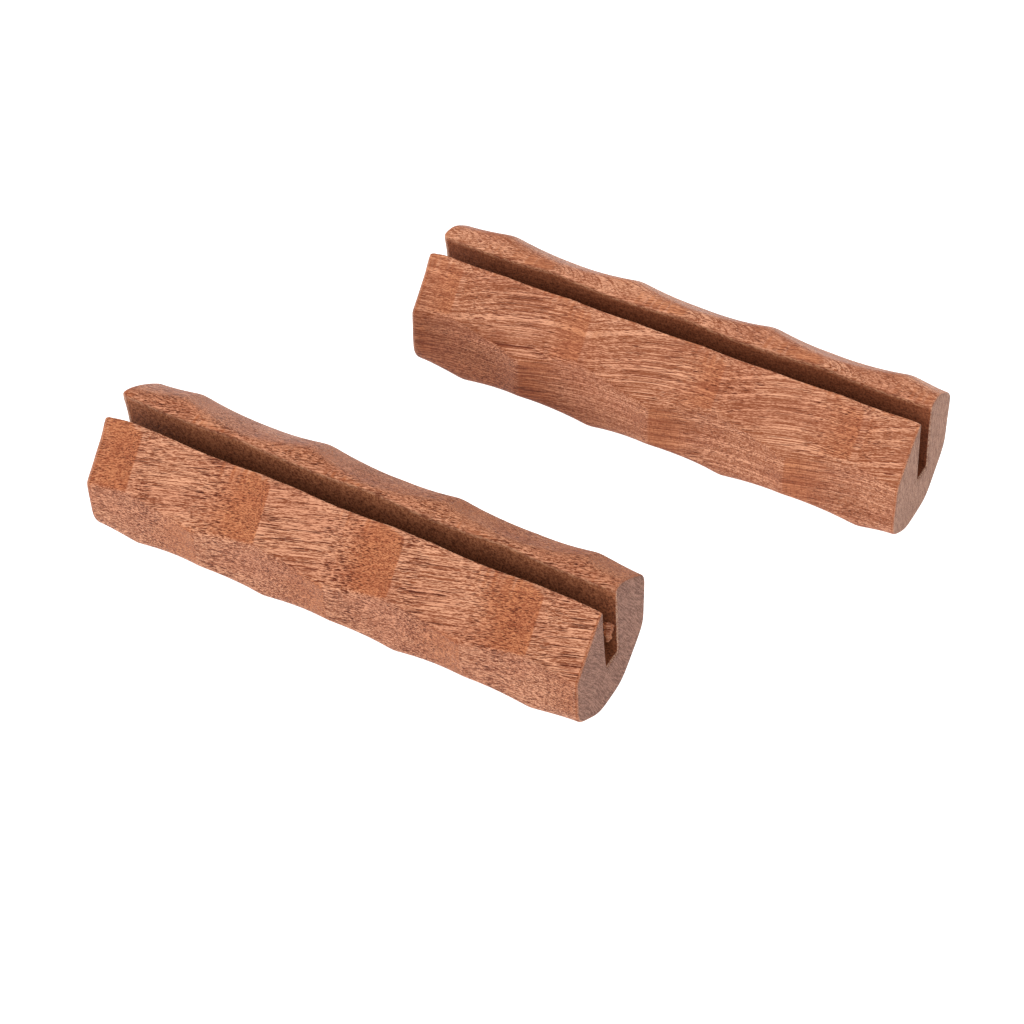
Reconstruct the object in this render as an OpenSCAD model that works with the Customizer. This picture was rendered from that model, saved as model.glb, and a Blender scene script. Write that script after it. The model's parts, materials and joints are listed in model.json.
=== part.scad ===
// A pair of slotted hardwood grips, carved all round in rows of shallow scoops.
// Each grip is one solid piece of wood. A straight slot runs its whole length, open at the
// top and at both ends, so that the grip can be pushed over the edge of a plate or a flat bar.
//
// Frame: +X runs along the grips, +Y from the front grip to the rear one, +Z up.
// The origin is on the surface that the grips stand on, in the middle of the pair. Millimetres.

/* [Grip] */
// Length of the front grip
front_l = 118.5; // [90:0.5:140]
// Length of the rear grip
rear_l = 117; // [90:0.5:140]
// Usual distance from a grip's axis to the ridges between its scoops
grip_r = 15; // [13:0.1:18]
// Flat cut on the edges around the ends at -X
tail_bevel = 1.2; // [0.2:0.1:2]
// Flat cut on the edges around the ends at +X
head_bevel = 0.5; // [0.2:0.1:2]

/* [Slot] */
// Width of the slot at its floor
slot_w = 4.6; // [3:0.1:7]
// How far the slot's floor lies below the grip's axis
slot_drop = 4.3; // [0:0.1:7]
// How much wider the front grip's slot is at its mouth
front_flare = 0.8; // [0:0.1:2]
// How much wider the rear grip's slot is at its mouth
rear_flare = 0.4; // [0:0.1:2]

/* [Carving] */
// Length of one scoop, from ridge to ridge along the grip
scoop_l = 32; // [24:1:40]
// Usual depth of a scoop below the ridges at its two ends
scoop_d = 1.3; // [0.4:0.1:1.8]

/* [Pair] */
// Distance between the two grips' axes
pair_gap = 73.4; // [45:0.1:120]
// How far the rear grip's end at +X lies ahead of the front grip's
pair_stagger = 33.8; // [0:0.1:60]

/* [Hidden] */
wood = "#b4714d";
$fn = 240;

// The eight rows of scoops around each grip, cut by hand and so no two alike. A row is
// [direction it faces, its ridges' reach beyond grip_r, depth of its scoops, place of a ridge].
// Directions are degrees from +Y towards +Z. Depths are in units of scoop_d, and places are in
// scoop lengths ahead of the grip's middle. Neighbouring rows are half a scoop out of step.
front_rows = [
    [90, 0.7, 1.1, 0.06],       // top
    [135, -1.7, 1.1, 0.49],     // front shoulder
    [177, -0.3, 0.8, 0.03],     // front side
    [234, 1.9, 1.2, 0.49],      // front keel
    [270, 0.6, 0.9, 0],         // sole
    [310, -0.3, 0.9, 0.5],      // back keel
    [354, -0.5, 0.7, 0.08],     // back side
    [52, 0.8, 1.2, 0.54],       // back shoulder
];
rear_rows = [
    [90, -0.3, 1.0, 0.05],
    [135, -1.9, 1.1, 0.49],
    [174, -0.6, 1.2, 0.03],
    [235, 2.3, 1.3, 0.56],
    [270, 0.6, 0.9, 0.03],
    [315, -1.2, 1.0, 0.52],
    [354, -1.8, 1.0, 0],
    [48, 0.9, 1.2, 0.57],
];
sole = 4;                               // the sole's place in a list of rows

pair_l = front_l + pair_stagger;        // length of the pair
blank_r = 1.6 * grip_r;                 // radius of the dowel that a grip is carved from
scoops = ceil(max(front_l, rear_l) / scoop_l) + 1;    // scoops that a row needs to pass both ends

function reach(row) = grip_r + row[1];
function depth(row) = scoop_d * row[2];

// Radius of the round cutter that leaves one scoop of a row between two ridges
function cutter_r(row) = (pow(scoop_l / 2, 2) + pow(depth(row), 2)) / (2 * depth(row));

// Place along the grip of the deepest point of a row's scoop number i
function scoop_x(row, i) = scoop_l * (row[3] + i - floor(scoops / 2) - 0.5);

// Distance from the axis to the cutter of scoop number i, and to the row's surface, at x
function cut_reach(row, i, x) =
    reach(row) - depth(row) + cutter_r(row)
    - sqrt(pow(cutter_r(row), 2) - pow(x - scoop_x(row, i), 2));
function row_reach(row, x) =
    max([for (i = [0 : scoops]) if (abs(x - scoop_x(row, i)) <= scoop_l / 2) cut_reach(row, i, x)]);

// The wood that one row of scoops takes away
module scoop_row(row) {
    rotate([row[0], 0, 0])
        for (i = [0 : scoops])
            translate([scoop_x(row, i), reach(row) - depth(row) + cutter_r(row), 0])
                cylinder(r = cutter_r(row), h = 3 * blank_r, center = true);
}

// The wood that a bevel on one row's edge takes away, at the end where x is end_x
module row_bevel(row, end_x, bevel) {
    side = sign(end_x);
    block = 4 * bevel;
    rotate([row[0], 0, 0])
        translate([end_x - side * bevel / 2, row_reach(row, end_x) - bevel / 2, 0])
            rotate([0, 0, 90 - 45 * side])
                translate([0, -block / 2, -blank_r])
                    cube([block, block, 2 * blank_r]);
}

// The wood that the slot takes away, with a flat floor and walls that lean out by half the flare
module slot(length, top, flare) {
    over = 2;
    rise = top + slot_drop;
    mouth = slot_w + flare * (rise + over) / rise;
    rotate([90, 0, 90])
        linear_extrude(height = length + 2 * over, center = true)
            polygon([
                [-slot_w / 2, -slot_drop],
                [slot_w / 2, -slot_drop],
                [mouth / 2, top + over],
                [-mouth / 2, top + over],
            ]);
}

// One grip about its own axis, carved from a dowel
module grip(length, rows, flare) {
    color(wood)
        difference() {
            rotate([0, 90, 0]) cylinder(r = blank_r, h = length, center = true);
            for (row = rows) {
                scoop_row(row);
                row_bevel(row, -length / 2, tail_bevel);
                row_bevel(row, length / 2, head_bevel);
            }
            slot(length, reach(rows[0]), flare);
        }
}

module front_grip() {
    translate([(front_l - pair_l) / 2, -pair_gap / 2, reach(front_rows[sole])])
        grip(front_l, front_rows, front_flare);
}

module rear_grip() {
    translate([(pair_l - rear_l) / 2, pair_gap / 2, reach(rear_rows[sole])])
        grip(rear_l, rear_rows, rear_flare);
}

front_grip();
rear_grip();
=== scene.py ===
"""A pair of slotted hardwood grips, carved in rows of scoops, on a white studio floor."""

import json
import math
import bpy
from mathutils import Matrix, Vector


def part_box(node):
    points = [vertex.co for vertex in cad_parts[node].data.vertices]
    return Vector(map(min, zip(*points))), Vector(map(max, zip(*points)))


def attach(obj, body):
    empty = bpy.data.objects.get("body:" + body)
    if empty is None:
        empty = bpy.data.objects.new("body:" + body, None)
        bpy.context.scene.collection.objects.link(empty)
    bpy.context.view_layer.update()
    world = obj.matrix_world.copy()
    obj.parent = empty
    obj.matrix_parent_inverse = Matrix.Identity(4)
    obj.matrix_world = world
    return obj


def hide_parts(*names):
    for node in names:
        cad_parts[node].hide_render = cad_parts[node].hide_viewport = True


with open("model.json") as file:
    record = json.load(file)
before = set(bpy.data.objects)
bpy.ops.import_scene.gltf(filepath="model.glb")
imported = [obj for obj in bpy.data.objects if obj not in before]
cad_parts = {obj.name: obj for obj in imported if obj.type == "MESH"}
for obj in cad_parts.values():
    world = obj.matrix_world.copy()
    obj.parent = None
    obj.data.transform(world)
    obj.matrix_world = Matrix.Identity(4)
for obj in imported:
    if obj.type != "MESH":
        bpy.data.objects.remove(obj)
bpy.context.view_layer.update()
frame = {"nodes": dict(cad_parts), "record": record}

from types import SimpleNamespace

import bmesh
import bpy
import numpy as np
from mathutils import Matrix, Vector, noise
from mathutils.bvhtree import BVHTree
from mathutils.geometry import delaunay_2d_cdt

MM = 0.001

# ---------------------------------------------------------------- the camera's view
AZIMUTH = 33.7          # degrees, from looking along +Y
ELEVATION = 48.05       # degrees above the horizon
ROLL = -5.05            # degrees
DISTANCE = 568 * MM     # from the point looked at
LENS = 95.54            # mm, on the 36 mm sensor
LOOK_AT = Vector((4.75, -11.5, 11.4)) * MM

# ---------------------------------------------------------------- the carved meshes
SPACING = 0.46 * MM     # between neighbouring points of a mesh
FINE = 0.22 * MM        # the same at the slot's edges
TAIL_CLEAR = 1.4 * MM   # how far from the tail the surface is read, past the CAD's bevel
HEAD_CLEAR = 0.7 * MM   # the same at the head
RADIUS = 15 * MM        # of a grip, roughly: points are spaced round it by this
SLOT_DEEP = 20 * MM     # the slot's depth and width, roughly, for the same use
SLOT_WIDE = 4.6 * MM
AXIS_H = 4.3 * MM       # height of a grip's axis over its slot's floor
RIDGE_SOFT = 0.4 * MM   # how far the ridges between scoops are rubbed down
END_SOFT = 1.6 * MM     # the same for the corners of an end's outline
END_ZONE = 7 * MM       # how far along the grip that reaches
RAIL = 48               # degrees from +Y towards +Z, where the back rail stands proud
RAIL_WIDE = 25          # degrees to each side of that
RAIL_FROM = 5 * MM      # where along X it starts to, and over what length it grows in full
RAIL_OVER = 40 * MM
UNEVEN = 0.12 * MM      # how far the cut surface strays from true
UNEVEN_SIZE = 4 * MM    # between one stray and the next
FINE_ZONE = 1.6 * MM    # how far from the slot's edges the points are FINE apart
LIP = 16                # how many points to each side of a slot's edge count as its lip
LIP_FADE = 7            # over how many of them the look changes to that of a slot's wall
END_STEP = 0.25 * MM    # between neighbouring sections where an end is rounded off
TORN = 0.1 * MM         # how far the saw tore the slot's lips, up or down
TORN_SIZE = 0.9 * MM    # the length of one tear


# ---------------------------------------------------------------- what sets each grip apart
# Shape: seed is that of the grip's unevenness. tail_round and head_round are how far its ends
# are rounded off, mouth_passes is how often its slot's lips are smoothed, and lift is how proud
# its back rail stands at the tail.
# Grain: fibre and shade are (degrees, facing), as leaning() takes them: how the fibres run, and
# how a facet has to lie to look pale. wander is how many mm the fibres stray. A facet's colour
# goes from pale to deep from steep_from to steep_to, by steepest at most. Growth layers face
# layers degrees, with layer_lines to a mm. A row of vessels is (gap between tubes and length of
# one in mm, least and greatest radius as a share of the gap). vessel_spread is how wide they
# stay in late wood, and dots is how dark they stay in a deep patch. strand is how many strands
# follow each other in a mm.
# Tone: layer_share and lines say how much growth layers and the line in each count in it, and
# shares says it of broad layers, strands, hairs and cells. The darker tone towards one side of
# the grip is given as (direction, mm where it starts, mm where it is full), with its own tint.
# Colours are linear, and one called a tint is multiplied in.
# The tint for deeper in the slot is painted shade, multiplied into its walls further down and
# its floor.
FRONT = SimpleNamespace(
    node="front_grip",
    seed=3, tail_round=1.5 * MM, head_round=0.6 * MM, mouth_passes=4, lift=0.8 * MM,
    fibre=(14.7, 209), wander=2.4, shade=(5.5, 150), steep_from=0.08, steep_to=0.2, steepest=1.0,
    layers=120, layer_lines=1.5, layer_share=0.15, lines=0.03,
    vessels=((0.42, 22.0, 0.08, 0.30), (0.18, 16.0, 0.14, 0.46)),
    vessel_spread=0.8, vessel_tint=(0.28, 0.125, 0.075), dots=0.85,
    strand=0.3, shares=(0.08, 0.7, 0.7, 0.20), rough=0.5,
    darkening=((0.0, 1.0, 0.0), -36.0, -31.0), darkening_tint=(0.90, 0.82, 0.75),
    pale_light=(0.635, 0.303, 0.178), pale_dark=(0.22, 0.061, 0.023),
    deep_light=(0.485, 0.180, 0.078), deep_dark=(0.23, 0.057, 0.020),
    cloud_tint=(0.78, 0.62, 0.58),
    end_light=(0.34, 0.18, 0.13), end_dark=(0.15, 0.07, 0.05), end_pore=(0.09, 0.03, 0.02),
    slot_tint=(0.80, 0.66, 0.56), slot_shade_tint=(0.52, 0.43, 0.37), edge=(0.56, 0.34, 0.24),
    fuzz_dark=(0.20, 0.075, 0.035), fuzz_light=(0.70, 0.34, 0.19),
    torn_dark=(0.17, 0.045, 0.022), torn_light=(0.60, 0.30, 0.17),
)
REAR = SimpleNamespace(
    node="rear_grip",
    seed=8, tail_round=1.3 * MM, head_round=0.5 * MM, mouth_passes=3, lift=0.35 * MM,
    fibre=(12.4, 223), wander=0.9, shade=(6.0, 65), steep_from=0.08, steep_to=0.19, steepest=0.8,
    layers=99, layer_lines=2.7, layer_share=0.42, lines=0.14,
    vessels=((0.42, 60.0, 0.06, 0.28), (0.18, 40.0, 0.10, 0.45)),
    vessel_spread=0.4, vessel_tint=(0.32, 0.155, 0.11), dots=0.8,
    strand=0.1, shares=(0.05, 0.45, 0.45, 0.12), rough=0.5,
    darkening=((-0.5, -0.3, -2.0), -47.0, -14.0), darkening_tint=(0.54, 0.43, 0.35),
    pale_light=(0.69, 0.332, 0.197), pale_dark=(0.25, 0.072, 0.028),
    deep_light=(0.54, 0.205, 0.088), deep_dark=(0.26, 0.070, 0.027),
    cloud_tint=(0.80, 0.64, 0.60),
    end_light=(0.39, 0.22, 0.155), end_dark=(0.20, 0.10, 0.070), end_pore=(0.10, 0.035, 0.024),
    slot_tint=(0.64, 0.48, 0.39), slot_shade_tint=(0.52, 0.43, 0.37), edge=(0.56, 0.34, 0.24),
    fuzz_dark=(0.24, 0.085, 0.040), fuzz_light=(0.60, 0.26, 0.14),
    torn_dark=(0.20, 0.050, 0.025), torn_light=(0.68, 0.33, 0.18),
)


def mount_place(name):
    """Where the record says that a mount is, in metres."""
    return next(Vector(m["pos_m"]) for m in frame["record"]["mounts"] if m["name"] == name)


def gauss(values, sigma, axis, wrap):
    """values smoothed along axis by a Gaussian of sigma samples."""
    half = int(math.ceil(3 * sigma))
    offsets = np.arange(-half, half + 1)
    weights = np.exp(-0.5 * (offsets / sigma) ** 2)
    weights /= weights.sum()
    mode = "wrap" if wrap else "edge"
    widths = [(half, half) if a == axis else (0, 0) for a in range(values.ndim)]
    padded = np.pad(values, widths, mode=mode)
    count = values.shape[axis]
    return sum(
        w * np.take(padded, np.arange(k, k + count), axis=axis)
        for k, w in enumerate(weights)
    )


class Surface:
    """A grip's carved surface, read from its CAD node by casting rays at it.

    It is held in reach: the distance from the grip's axis to the surface, for each place along
    the grip in xs and each direction in angles, which count from +Y towards +Z.
    """

    def __init__(self, grip):
        node = frame["nodes"][grip.node]
        self.tree = BVHTree.FromObject(node, bpy.context.evaluated_depsgraph_get())
        lo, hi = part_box(grip.node)
        self.x0, self.x1, self.top, self.height = lo.x, hi.x, hi.z, hi.z - lo.z
        floor = mount_place(grip.node.replace("grip", "slot_floor"))
        # the axis at y, z runs straight over the middle of the slot's floor
        self.y, self.floor, self.z = floor.y, floor.z, floor.z + AXIS_H
        self.walls = {side: self.wall(side) for side in (-1, 1)}
        self.xs = np.arange(self.x0 + TAIL_CLEAR, self.x1 - HEAD_CLEAR, SPACING)
        self.angles = np.radians(np.arange(0, 360, 1.5))
        self.turn = self.angles[1] * RADIUS
        reach = self.rubbed(self.bridged(self.cast()))
        # the back rail stands a little proud of its facets towards the tail
        proud = np.exp(-(((np.degrees(self.angles) - RAIL) / RAIL_WIDE) ** 2))
        reach += grip.lift * proud * np.clip((RAIL_FROM - self.xs) / RAIL_OVER, 0, 1)[:, None]
        self.reach = self.worn_ends(self.uneven(reach, grip.seed))

    def wall(self, side):
        """The slot's wall at side: how far from the middle it starts, and how much it leans."""

        def away(height):
            start = Vector(((self.x0 + self.x1) / 2, self.y, self.floor + height))
            return abs(self.tree.ray_cast(start, Vector((0, side, 0)))[0].y - self.y)

        low, high = 2 * MM, 12 * MM
        lean = (away(high) - away(low)) / (high - low)
        return away(low) - lean * low, lean

    def cast(self):
        """The CAD solid's own distances."""
        far = 2 * self.height
        reach = np.empty((len(self.xs), len(self.angles)))
        for j, a in enumerate(self.angles):
            out = Vector((0, math.cos(a), math.sin(a)))
            for i, x in enumerate(self.xs):
                axis = Vector((x, self.y, self.z))
                hit = self.tree.ray_cast(axis + out * far, -out)[0]
                reach[i, j] = (hit - axis).length
        return reach

    def bridged(self, reach):
        """reach with its top bridged level over the slot, from one side to the other."""
        sin, cos = np.sin(self.angles), np.cos(self.angles)
        mouth = self.walls[1][0] + self.walls[1][1] * (self.top - self.floor) + 0.4 * MM
        level = reach * sin
        across = np.where(sin > 0, mouth / np.maximum(np.abs(cos), 1e-9), 9)
        inside = (sin > 0) & (np.abs(reach.mean(0) * cos) < mouth)
        upright = np.abs(self.angles - np.pi / 2) < 0.35
        inside |= (sin > 0) & (across > self.top - self.z) & upright
        first, last = np.nonzero(inside)[0][[0, -1]]
        for j in range(first, last + 1):
            t = (j - first + 1) / (last - first + 2)
            bridge = (1 - t) * level[:, first - 1] + t * level[:, last + 1]
            reach[:, j] = bridge / math.sin(self.angles[j])
        return reach

    def rubbed(self, reach):
        """reach with its ridges crisp on the front shoulder and side, and softer elsewhere."""
        crisp = np.clip(2 * np.cos(self.angles - math.radians(150)) - 0.4, 0, 1)
        hard, gentle = (
            gauss(gauss(reach, soft / SPACING, 0, False), soft / self.turn, 1, True)
            for soft in (RIDGE_SOFT, 2.5 * RIDGE_SOFT)
        )
        return gentle + crisp * (hard - gentle)

    def uneven(self, reach, seed):
        """reach as a hand cuts it, with no scoop quite true."""
        for i, x in enumerate(self.xs):
            for j, a in enumerate(self.angles):
                place = Vector((x / 3, 12 * MM * math.cos(a), 12 * MM * math.sin(a)))
                place = place / UNEVEN_SIZE + Vector((seed, 0, 0))
                reach[i, j] += UNEVEN * noise.noise(place)
        return reach

    def worn_ends(self, reach):
        """reach rubbed rounder still towards the grip's ends, and most of all underneath."""
        low = np.clip(0.4 - np.sin(self.angles), 0.3, 0.9)
        worn = gauss(reach, END_SOFT / self.turn, 1, True)
        worn = reach + low * (worn - reach)
        ends = np.minimum(self.xs - self.x0, self.x1 - self.xs)[:, None]
        return reach + (worn - reach) * np.exp(-((ends / END_ZONE) ** 2))

    def at(self, x, angle):
        """Distance from the axis to the surface at x, in the directions in angle."""
        i = (x - self.xs[0]) / SPACING
        i0 = int(min(max(math.floor(i), 0), len(self.xs) - 2))
        row = self.reach[i0] + (i - i0) * (self.reach[i0 + 1] - self.reach[i0])
        return np.interp(angle, self.angles, row, period=2 * np.pi)

    def corner(self, x, side):
        """(y, z) of the sharp edge where the top meets the slot's wall, from the axis."""
        angle = np.pi / 2
        for _ in range(4):
            z = self.at(x, angle) * math.sin(angle)
            y = self.walls[side][0] + self.walls[side][1] * (z + AXIS_H)
            angle = math.atan2(z, side * y)
        return side * y, z


def spread(length, fine_start, fine_end):
    """Places from 0 to 1 along a stretch: FINE apart near the ends asked for, else SPACING."""
    places, here = [0.0], 0.0
    while here < length:
        near = (fine_start and here < FINE_ZONE) or (fine_end and length - here < FINE_ZONE)
        here += FINE if near else SPACING
        places.append(here)
    return np.array(places) / places[-1]


def cap(flat, first):
    """Triangles over the closed outline flat = (y, z), whose mesh points count up from first.

    Gives all the points, the triangles between them, which of the mesh's points each outline
    point is, and which points are new.
    """
    lo, hi = flat.min(0), flat.max(0)
    pitch = 3 * SPACING
    grid = [
        (y, z)
        for y in np.arange(lo[0] + pitch, hi[0], pitch)
        for z in np.arange(lo[1] + pitch, hi[1], pitch)
        if np.hypot(flat[:, 0] - y, flat[:, 1] - z).min() > 0.8 * pitch
    ]
    given = [Vector(p) for p in flat.tolist() + grid]
    edges = [(i, (i + 1) % len(flat)) for i in range(len(flat))]
    points, _, faces, was, _, _ = delaunay_2d_cdt(given, edges, [], 1, 1e-7)
    numbers = {i: first + min(old) for i, old in enumerate(was) if old and min(old) < len(flat)}
    new = sorted({i for face in faces for i in face} - set(numbers))
    return points, faces, numbers, new


def shrink(flat, amount):
    """The closed outline flat moved inwards by amount, and by less at its sharp corners."""
    along = np.roll(flat, -1, 0) - np.roll(flat, 1, 0)
    along /= np.linalg.norm(along, axis=1)[:, None]
    normal = np.stack([along[:, 1], -along[:, 0]], 1)
    return flat - amount * gauss(normal, 7, 0, True)


# A section's points run round the outside from the slot's front lip to its back lip, then down
# its back wall, over its floor and up its front wall. Each of these holds places from 0 to 1.
OUTSIDE = spread(2 * np.pi * RADIUS, True, True)
WALL = spread(SLOT_DEEP, True, False)
BOTTOM = spread(SLOT_WIDE, False, False)
# the numbers of the points at the slot's edges, and how many points there are
FRONT_LIP = 0
BACK_LIP = len(OUTSIDE) - 1
BACK_FOOT = BACK_LIP + len(WALL) - 1
FRONT_FOOT = BACK_FOOT + len(BOTTOM) - 1
COUNT = FRONT_FOOT + len(WALL) - 1


def around(at, width, rise):
    """For each point of a section: 1 at point number at, falling to 0 past width points."""
    share = np.zeros(COUNT)
    for k in range(-width, width + 1):
        share[(at + k) % COUNT] = min(1, rise * (1 - abs(k) / (width + 1)))
    return share


# how strongly each point is rubbed down: fully at the slot's lips, less along its floor
RUBBED = around(FRONT_LIP, 7, 1.5) + around(BACK_LIP, 7, 1.5)
RUBBED += 0.35 * (around(BACK_FOOT, 2, 1.5) + around(FRONT_FOOT, 2, 1.5))
# how much of a lip each point is: 1 next to either lip of the slot, 0 away from them
LIPS = around(FRONT_LIP, LIP, 2) + around(BACK_LIP, LIP, 2)


def slot_depth():
    """For each point of a section: 0 outside the slot, 1 just inside it and 2 on its floor."""
    depth = np.zeros(COUNT)
    down = np.linspace(1, 2, len(WALL) - 1)
    depth[BACK_LIP + 1 : BACK_FOOT + 1] = down
    depth[BACK_FOOT:FRONT_FOOT] = 2
    depth[FRONT_FOOT:] = down[::-1]
    depth[BACK_LIP : BACK_LIP + LIP_FADE + 1] = np.linspace(0, 1, LIP_FADE + 1)
    depth[-LIP_FADE:] = np.linspace(1, 0, LIP_FADE)
    return depth


def section(surface, x):
    """The grip's outline at x, as (y, z) from its axis, with the slot's edges sharp."""
    front, back = surface.corner(x, -1), surface.corner(x, 1)
    first = math.atan2(front[1], front[0])
    last = math.atan2(back[1], back[0]) + 2 * np.pi
    angle = first + (last - first) * OUTSIDE
    reach = surface.at(x, angle % (2 * np.pi))
    parts = [np.stack([reach * np.cos(angle), reach * np.sin(angle)], 1)]
    back_foot, front_foot = (surface.walls[1][0], -AXIS_H), (-surface.walls[-1][0], -AXIS_H)
    stretches = (
        (back, back_foot, WALL),
        (back_foot, front_foot, BOTTOM),
        (front_foot, front, 1 - WALL[::-1]),
    )
    for start, stop, places in stretches:
        start, stop = np.array(start), np.array(stop)
        parts.append(start + (stop - start) * places[1:, None])
    return np.concatenate(parts)[:-1]


def worn_section(grip, surface, x, inset):
    """The outline at x with its lips rubbed down and torn, moved inwards by inset."""
    flat = section(surface, x)
    for _ in range(grip.mouth_passes):
        middle = (np.roll(flat, 1, 0) + np.roll(flat, -1, 0)) / 2
        flat = flat + RUBBED[:, None] * (middle - flat)
    # the slot's lips are rounded more near an end, so that the end's own rounding fits
    for edge, size in ((surface.x0, grip.tail_round), (surface.x1, grip.head_round)):
        near = math.exp(-(((x - edge) / (2.2 * size)) ** 2))
        soft = gauss(flat, size / FINE * 0.7, 0, True)
        flat = flat + (near * LIPS)[:, None] * (soft - flat)
    torn = [noise.noise((x / TORN_SIZE, 9.0 * side, grip.seed)) for side in (0, 1)]
    torn = np.where(np.arange(COUNT) > BACK_LIP // 2, torn[1], torn[0])
    flat[:, 1] -= TORN * LIPS * torn
    return shrink(flat, inset * (1 - 0.4 * LIPS[:, None]))


def rounded_end(edge, outward, size):
    """(x, inset) of the sections along an end that was rubbed round over size."""
    steps = max(3, int(size / END_STEP))
    return [
        (edge - outward * size * (1 - math.sin(f)), size * (1 - math.cos(f)))
        for f in np.linspace(0, np.pi / 2, steps + 1)
    ]


def sections(grip, surface):
    """All the grip's sections from tail to head, as an array of points in metres."""
    tail = rounded_end(surface.x0, -1, grip.tail_round)[::-1]
    head = rounded_end(surface.x1, 1, grip.head_round)
    start, stop = tail[-1][0], head[0][0]
    inner = np.linspace(start, stop, int((stop - start) / SPACING) + 1)[1:-1]
    stations = tail + [(x, 0.0) for x in inner] + head
    rings = np.empty((len(stations), COUNT, 3))
    for ring, (x, inset) in zip(rings, stations):
        ring[:, 0] = x
        ring[:, 1:] = worn_section(grip, surface, x, inset) + (surface.y, surface.z)
    return rings


def skin(rings):
    """Points and faces of the closed mesh over the sections in rings, caps included."""
    total = len(rings)
    grid = np.arange(total * COUNT).reshape(total, COUNT)
    beside = np.roll(grid, -1, 1)
    quads = np.stack([grid[:-1], beside[:-1], beside[1:], grid[1:]], -1).reshape(-1, 4)
    faces = quads.tolist()
    points = rings.reshape(-1, 3).tolist()
    for ring, outward in ((0, -1), (total - 1, 1)):
        inside, triangles, numbers, new = cap(rings[ring, :, 1:], ring * COUNT)
        for i in new:
            numbers[i] = len(points)
            points.append([rings[ring, 0, 0], inside[i].x, inside[i].y])
        for t in triangles:
            a, b, c = (inside[i] for i in t)
            turning = (b - a).cross(c - a)
            order = t if turning * outward > 0 else t[::-1]
            faces.append([numbers[i] for i in order])
    return points, faces


def build(grip):
    """The grip's mesh object, which stands for its CAD node."""
    rings = sections(grip, Surface(grip))
    points, faces = skin(rings)
    mesh = bpy.data.meshes.new(grip.node + "_carved")
    mesh.from_pydata(points, [], faces)
    mesh.validate()
    mesh.shade_smooth()
    # the material reads how deep inside the slot each point is, for the sawn walls and the
    # painted shade deeper in, and the caps are outside it
    on_caps = np.zeros(len(points) - len(rings) * COUNT)
    slot_wall = mesh.attributes.new("slot_wall", "FLOAT", "POINT")
    depths = np.concatenate([np.tile(slot_depth(), len(rings)), on_caps])
    slot_wall.data.foreach_set("value", depths)
    piece = bpy.data.objects.new(grip.node + "_carved", mesh)
    bpy.context.scene.collection.objects.link(piece)
    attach(piece, "root")
    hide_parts(grip.node)
    return piece


pieces = {g.node: build(g) for g in (FRONT, REAR)}


def splinter(name, foot, tip, width, lift, seed):
    """A torn sliver of wood: a thin curved blade from foot to tip, metres, ragged at its tip."""
    along = tip - foot
    across = along.cross(Vector((0, 0, 1))).normalized()
    thick = across.cross(along).normalized()
    mesh = bmesh.new()
    rows = []
    steps = 14
    for i in range(steps + 1):
        t = i / steps
        half = width / 2 * (1 - 0.75 * t * t) * (1 + 0.3 * noise.noise((6 * t, seed, 0)))
        middle = foot + along * t + thick * lift * math.sin(math.pi * t * 0.8)
        middle += across * width * 0.3 * noise.noise((3 * t, 0, seed))
        half_thick = width * 0.16 * (1 - 0.7 * t)
        rows.append([
            mesh.verts.new(middle + across * half * u + thick * half_thick * v)
            for u, v in ((-1, 0), (-0.4, 1), (0.4, 0.8), (1, 0), (0.4, -1), (-0.4, -0.8))
        ])
    for a, b in zip(rows, rows[1:]):
        for k in range(6):
            mesh.faces.new((a[k], a[(k + 1) % 6], b[(k + 1) % 6], b[k]))
    mesh.faces.new(rows[0][::-1])
    mesh.faces.new(rows[-1])
    bmesh.ops.recalc_face_normals(mesh, faces=mesh.faces)
    data = bpy.data.meshes.new(name)
    mesh.to_mesh(data)
    mesh.free()
    piece = bpy.data.objects.new(name, data)
    bpy.context.scene.collection.objects.link(piece)
    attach(piece, "root")
    return piece


# one splinter that the saw left standing off the back wall, near the slot's head end
slot = mount_place("front_slot_floor")
slot_head = Vector((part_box("front_grip")[1].x, slot.y, slot.z))
pieces["splinter"] = splinter(
    "front_splinter",
    foot=slot_head + Vector((-1.7, 2.6, 8.0)) * MM,
    tip=slot_head + Vector((-0.7, -0.5, 6.0)) * MM,
    width=2.2 * MM,
    lift=0.4 * MM,
    seed=5,
)


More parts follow.
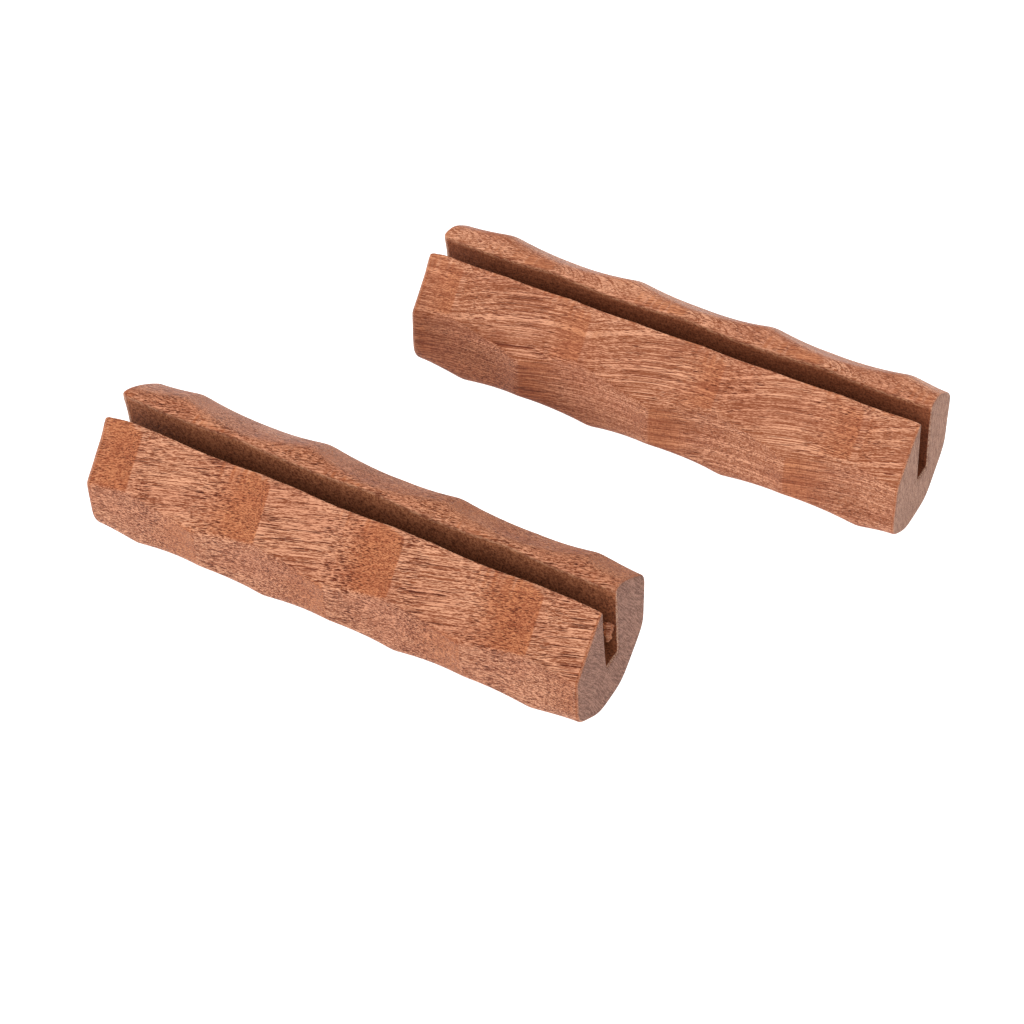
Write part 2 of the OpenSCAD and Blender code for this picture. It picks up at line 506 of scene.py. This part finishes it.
# ---------------------------------------------------------------- wood
class Nodes:
    """A material's node tree, built from Python. A value is a number, a tuple or a socket."""

    def __init__(self, name):
        self.material = bpy.data.materials.new(name)
        self.material.use_nodes = True
        self.tree = self.material.node_tree
        self.shader = self.tree.nodes["Principled BSDF"]

    def node(self, kind, values=(), **settings):
        made = self.tree.nodes.new("ShaderNode" + kind)
        for key, value in settings.items():
            setattr(made, key, value)
        for key, value in dict(values).items():
            self.put(made.inputs[key], value)
        return made

    def put(self, socket, value):
        if isinstance(value, bpy.types.NodeSocket):
            self.tree.links.new(value, socket)
        elif socket.type == "RGBA":
            socket.default_value = (*value, 1)
        else:
            socket.default_value = value

    def math(self, op, a, b=0.0, c=0.0):
        return self.node("Math", {0: a, 1: b, 2: c}, operation=op).outputs[0]

    def vector(self, op, a, b=(0, 0, 0)):
        made = self.node("VectorMath", {0: a, 1: b}, operation=op)
        return made.outputs["Value" if op == "DOT_PRODUCT" else 0]

    def xyz(self, x, y, z):
        return self.node("CombineXYZ", {0: x, 1: y, 2: z}).outputs[0]

    def noise(self, place, scale=1.0, detail=2.0, rough=0.5, distortion=0.0):
        """Noise around 0.5."""
        values = {"Vector": place, "Scale": scale, "Detail": detail}
        values |= {"Roughness": rough, "Distortion": distortion}
        return self.node("TexNoise", values).outputs["Fac"]

    def step(self, value, low, high, out_low=0.0, out_high=1.0):
        """out_low below low, out_high above high, and a smooth change between."""
        values = {"Value": value, 1: low, 2: high, 3: out_low, 4: out_high}
        made = self.node("MapRange", values, interpolation_type="SMOOTHSTEP")
        return made.outputs[0]

    def blend(self, amount, a, b, how="MIX"):
        made = self.node("Mix", data_type="RGBA", blend_type=how)
        for key, value in ((0, amount), (6, a), (7, b)):
            self.put(made.inputs[key], value)
        return made.outputs[2]


def leaning(degrees, facing):
    """The direction of +X leaned by degrees away from the side at facing, from +Y towards +Z."""
    tilt, facing = math.tan(math.radians(degrees)), math.radians(facing)
    return Vector((1, -tilt * math.cos(facing), -tilt * math.sin(facing))).normalized()


class Wood(Nodes):
    """Wood that fills a grip's whole volume, so each cut shows the grain that it meets.

    The fibres lean away from the grip's own direction, so one end of a scoop shows long open
    vessels and the other end shows them cut short. Lengths in here are mm.
    """

    def __init__(self, grip):
        super().__init__(grip.node.replace("grip", "wood"))
        self.grip = grip
        in_metres = self.node("TexCoord").outputs["Object"]
        self.place = self.vector("MULTIPLY", in_metres, (1 / MM,) * 3)
        self.normal = self.node("NewGeometry").outputs["Normal"]

        # the wood's own axes: along the fibres, across the growth layers, and along the layers
        self.fibre = leaning(*grip.fibre)
        turn = math.radians(grip.layers)
        across = Vector((0, math.cos(turn), math.sin(turn)))
        self.across = (across - across.dot(self.fibre) * self.fibre).normalized()
        self.along_layer = self.fibre.cross(self.across)
        bent = self.bent()
        axes = self.fibre, self.across, self.along_layer
        self.grain = [self.vector("DOT_PRODUCT", bent, tuple(axis)) for axis in axes]

        # what several parts of the material share
        self.cut = self.facing(self.fibre)
        self.end_face = self.step(self.cut, 0.72, 0.92)
        in_slot = self.node("Attribute", attribute_name="slot_wall")
        self.in_slot = in_slot.outputs["Fac"]
        self.walls = self.math("MINIMUM", self.in_slot, 1.0)
        self.fine = self.along_grain(0.008, grip.layer_lines, 0.08)
        self.strand = self.along_grain(grip.strand, 5.5, 5.5)
        self.dust = self.scatter((3.2, 3.2, 3.2), 4.0)
        self.sawn = self.scatter((2.4, 5.0, 1.7), 3.0)
        self.vessel, self.cell = self.vessels()

        color = self.torn_lips(self.slot_walls(self.long_grain()))
        color = self.blend(self.end_face, self.rim(color), self.end_grain())
        self.put(self.shader.inputs["Base Color"], color)
        self.put(self.shader.inputs["Roughness"], self.roughness())
        self.put(self.shader.inputs["Specular IOR Level"], 0.12)
        self.put(self.shader.inputs["Normal"], self.bump())

    def bent(self):
        """The place, with the fibres' slow wandering added."""
        slow = self.vector("MULTIPLY", self.place, (0.02, 0.06, 0.06))
        wander = self.node("TexNoise", {"Vector": slow, "Scale": 1.0, "Detail": 2.0})
        wander = self.vector("SUBTRACT", wander.outputs["Color"], (0.5, 0.5, 0.5))
        wander = self.vector("MULTIPLY", wander, (0.0, self.grip.wander, self.grip.wander))
        return self.vector("ADD", self.place, wander)

    def along_grain(self, per_fibre, per_across, per_layer, detail=2.0):
        """Noise with so many waves a millimetre along each of the wood's axes."""
        waves = zip(self.grain, (per_fibre, per_across, per_layer))
        scaled = [self.math("MULTIPLY", along, many) for along, many in waves]
        return self.noise(self.xyz(*scaled), 1.0, detail, 0.6)

    def scatter(self, waves, detail):
        """Rough noise that ignores the grain, with so many waves a millimetre in X, Y, Z."""
        return self.noise(self.vector("MULTIPLY", self.place, waves), 1.0, detail, 0.7)

    def facing(self, direction):
        """How the surface lies to direction: 0 along it, 1 square to it."""
        return self.math("ABSOLUTE", self.vector("DOT_PRODUCT", self.normal, tuple(direction)))

    def vessels(self):
        """Long thin tubes, seen as streaks where the cut follows them and dots elsewhere.

        Gives where they are, and a number from 0 to 1 for the cell of wood round each.
        """
        early = self.step(self.fine, 0.35, 0.65, self.grip.vessel_spread, 1.0)
        tubes = []
        for gap, length, small, large in self.grip.vessels:
            sizes = zip(self.grain, (length, gap, gap))
            tube = self.xyz(*(self.math("DIVIDE", along, size) for along, size in sizes))
            cells = self.node("TexVoronoi", {"Vector": tube, "Scale": 1.0}, feature="F1")
            drawn = self.node("SeparateColor", {0: cells.outputs["Color"]})
            radius = self.step(drawn.outputs[0], 0.0, 1.0, small, large)
            inside = self.math("MULTIPLY", radius, early)
            inside = self.math("SUBTRACT", inside, cells.outputs["Distance"])
            tubes.append(self.step(inside, -0.07, 0.07))
        return self.math("MAXIMUM", *tubes), drawn.outputs[1]

    def tone(self):
        """How pale the wood is, from 0 to 1: growth layers, strands, hairs and cells."""
        middle = self.math("SUBTRACT", self.fine, 0.5)
        line = self.step(self.math("ABSOLUTE", middle), 0.0, 0.05, 1.0, 0.0)
        layers = self.math("MULTIPLY", middle, self.grip.layer_share)
        layers = self.math("MULTIPLY_ADD", line, -self.grip.lines, layers)
        # growth layers blur where the surface lies almost along them
        layered = self.step(self.facing(self.across), 0.93, 0.99, 1.0, 0.25)
        tone = self.math("MULTIPLY", layers, layered)
        broad = self.along_grain(0.015, 0.4, 0.06)
        hair = self.along_grain(1.2, 9.0, 9.0, 1.0)
        for value, share in zip((broad, self.strand, hair, self.cell), self.grip.shares):
            tone = self.math("MULTIPLY_ADD", self.math("SUBTRACT", value, 0.5), share, tone)
        return self.step(tone, -0.12, 0.12)

    def long_grain(self):
        """The colour of a carved surface, which more or less follows the fibres."""
        grip = self.grip
        tone = self.tone()
        pale = self.blend(tone, grip.pale_dark, grip.pale_light)
        deep = self.blend(tone, grip.deep_dark, grip.deep_light)
        shaded = self.facing(leaning(*grip.shade))
        steep = self.step(shaded, grip.steep_from, grip.steep_to, 0.0, grip.steepest)
        color = self.blend(steep, pale, deep)
        cloud = self.step(self.along_grain(0.06, 0.16, 0.16), 0.4, 0.68, 0.0, 0.45)
        clouded = self.blend(1.0, color, grip.cloud_tint, "MULTIPLY")
        color = self.blend(cloud, color, clouded)

        dark = self.blend(1.0, color, grip.vessel_tint, "MULTIPLY")
        seen = self.step(steep, 0, 1, 1.0, grip.dots)
        seen = self.math("MULTIPLY", self.step(self.end_face, 0, 1, 1.0, 0.5), seen)
        color = self.blend(self.math("MULTIPLY", self.vessel, seen), color, dark)

        # darker towards one side: the back rail of the front grip, and the tail and underside of
        # the rear grip
        towards, start, full = grip.darkening
        darkening = self.step(self.vector("DOT_PRODUCT", self.place, towards), start, full)
        color = self.blend(darkening, color, self.blend(1.0, color, grip.darkening_tint, "MULTIPLY"))

        # rays: short ticks across the grain, on the faces that look along the layers
        facing_rays = self.step(self.facing(self.along_layer), 0.55, 0.85)
        ray = self.step(self.along_grain(3.2, 0.9, 0.9, 2.0), 0.5, 0.66, 0.0, 0.4)
        return self.blend(self.math("MULTIPLY", ray, facing_rays), color, dark)

    def end_grain(self):
        """The colour of an end: greyer and more even, with dots and a few pale saw scratches."""
        cross_ray = self.along_grain(0.2, 0.35, 4.0)
        half_dust = self.math("MULTIPLY", self.dust, 0.5)
        ends = self.step(self.math("MULTIPLY_ADD", cross_ray, 0.5, half_dust), 0.4, 0.6)
        ends = self.blend(ends, self.grip.end_dark, self.grip.end_light)
        ends = self.blend(self.math("MULTIPLY", self.vessel, 0.6), ends, self.grip.end_pore)
        along_saw = self.vector("DOT_PRODUCT", self.place, (0.0, 0.2, 0.05))
        across_saw = self.vector("DOT_PRODUCT", self.place, (0.0, -0.5, 2.0))
        scratch = self.noise(self.xyz(along_saw, across_saw, 0.0), 1.0, 3.0, 0.7)
        return self.blend(self.step(scratch, 0.6, 0.72, 0.0, 0.5), ends, self.grip.edge)

    def slot_walls(self, color):
        """color, but sawn, darker and never rubbed smooth where it is inside the slot, with
        painted shade further down.
        """
        grip = self.grip
        fuzz = self.blend(self.step(self.sawn, 0.4, 0.6), grip.fuzz_dark, grip.fuzz_light)
        fuzz = self.blend(0.55, color, fuzz)
        fuzz = self.blend(1.0, fuzz, grip.slot_tint, "MULTIPLY")
        # painted shade: the slot's walls darken from near their top to halfway down, and stay so
        # to the floor
        shadowed = self.blend(1.0, fuzz, grip.slot_shade_tint, "MULTIPLY")
        fuzz = self.blend(self.step(self.in_slot, 1.04, 1.5), fuzz, shadowed)
        return self.blend(self.walls, color, fuzz)

    def torn_lips(self, color):
        """color, with pale or dark torn fibres along the slot's lips."""
        lip = self.step(self.walls, 0.4, 0.9, 1.0, 0.0)
        lip = self.math("MULTIPLY", self.step(self.walls, 0.0, 0.25), lip)
        torn = self.step(self.scatter((0.9, 2.6, 2.6), 3.0), 0.42, 0.6)
        torn = self.blend(torn, self.grip.torn_dark, self.grip.torn_light)
        return self.blend(self.math("MULTIPLY", lip, 0.6), color, torn)

    def rim(self, color):
        """color, with pale specks along the rim of an end."""
        speck = self.step(self.dust, 0.42, 0.58, 0.15, 1.0)
        speck = self.math("MULTIPLY", speck, self.step(self.walls, 0, 1, 0.3, 0.9))
        rim = self.math("MULTIPLY", self.step(self.cut, 0.25, 0.4), speck)
        return self.blend(rim, color, self.grip.edge)

    def roughness(self):
        """Rubbed wood shines a little, and sawn walls, ends and open vessels less."""
        shine = self.step(self.strand, 0.3, 0.7, self.grip.rough - 0.06, self.grip.rough + 0.06)
        sawn = self.math("MULTIPLY", self.math("MAXIMUM", self.walls, self.end_face), 0.75)
        return self.math("MULTIPLY_ADD", self.vessel, 0.15, self.math("MAXIMUM", shine, sawn))

    def bump(self):
        """Raised strands and sunk vessels, and the roughness of sawn walls and ends."""
        height = self.math("MULTIPLY", self.vessel, -0.05)
        height = self.math("MULTIPLY_ADD", self.strand, 0.03, height)
        on_walls = self.math("MULTIPLY", self.walls, 0.22)
        height = self.math("MULTIPLY_ADD", self.sawn, on_walls, height)
        on_ends = self.math("MULTIPLY", self.end_face, 0.1)
        height = self.math("MULTIPLY_ADD", self.dust, on_ends, height)
        made = self.node("Bump", {"Height": height, "Distance": MM, "Strength": 1.0})
        return made.outputs[0]


for grip in (FRONT, REAR):
    piece = pieces[grip.node]
    piece.data.materials.append(Wood(grip).material)
pieces["splinter"].data.materials.append(pieces["front_grip"].data.materials[0])

# ---------------------------------------------------------------- floor, light and camera
bpy.ops.mesh.primitive_plane_add(size=6, location=(0, 0, 0))
floor = bpy.context.object
floor.name = "studio_floor"
paper = Nodes("studio_floor")
paper.put(paper.shader.inputs["Base Color"], (0.4, 0.4, 0.4))
paper.put(paper.shader.inputs["Roughness"], 1.0)
paper.put(paper.shader.inputs["Emission Color"], (1, 1, 1))
paper.put(paper.shader.inputs["Emission Strength"], 1.1)
floor.data.materials.append(paper.material)

scene = bpy.context.scene
scene.view_settings.view_transform = "Standard"
world = bpy.data.worlds.new("studio")
scene.world = world
world.use_nodes = True
world.node_tree.nodes["Background"].inputs["Color"].default_value = (1, 1, 1, 1)
world.node_tree.nodes["Background"].inputs["Strength"].default_value = 1.0


def area_light(name, place, size, power):
    light = bpy.data.lights.new(name, "AREA")
    light.shape = "SQUARE"
    light.size = size
    light.energy = power    # watts
    obj = bpy.data.objects.new(name, light)
    obj.location = place
    obj.rotation_euler = (-Vector(place)).to_track_quat("-Z", "Y").to_euler()
    scene.collection.objects.link(obj)


area_light("key", (-0.5, -0.4, 0.9), 0.7, 6)

turned, raised = math.radians(AZIMUTH), math.radians(ELEVATION)
right = Vector((math.cos(turned), math.sin(turned), 0))
level = Vector((math.sin(turned), -math.cos(turned), 0))
back = level * math.cos(raised) + Vector((0, 0, math.sin(raised)))
up = back.cross(right)
turn = Matrix((right, up, back)).transposed() @ Matrix.Rotation(math.radians(ROLL), 3, "Z")
camera = bpy.data.cameras.new("camera")
camera.sensor_width = 36
camera.lens = LENS
eye = bpy.data.objects.new("camera", camera)
eye.matrix_world = Matrix.Translation(LOOK_AT + back * DISTANCE) @ turn.to_4x4()
scene.collection.objects.link(eye)
scene.camera = eye
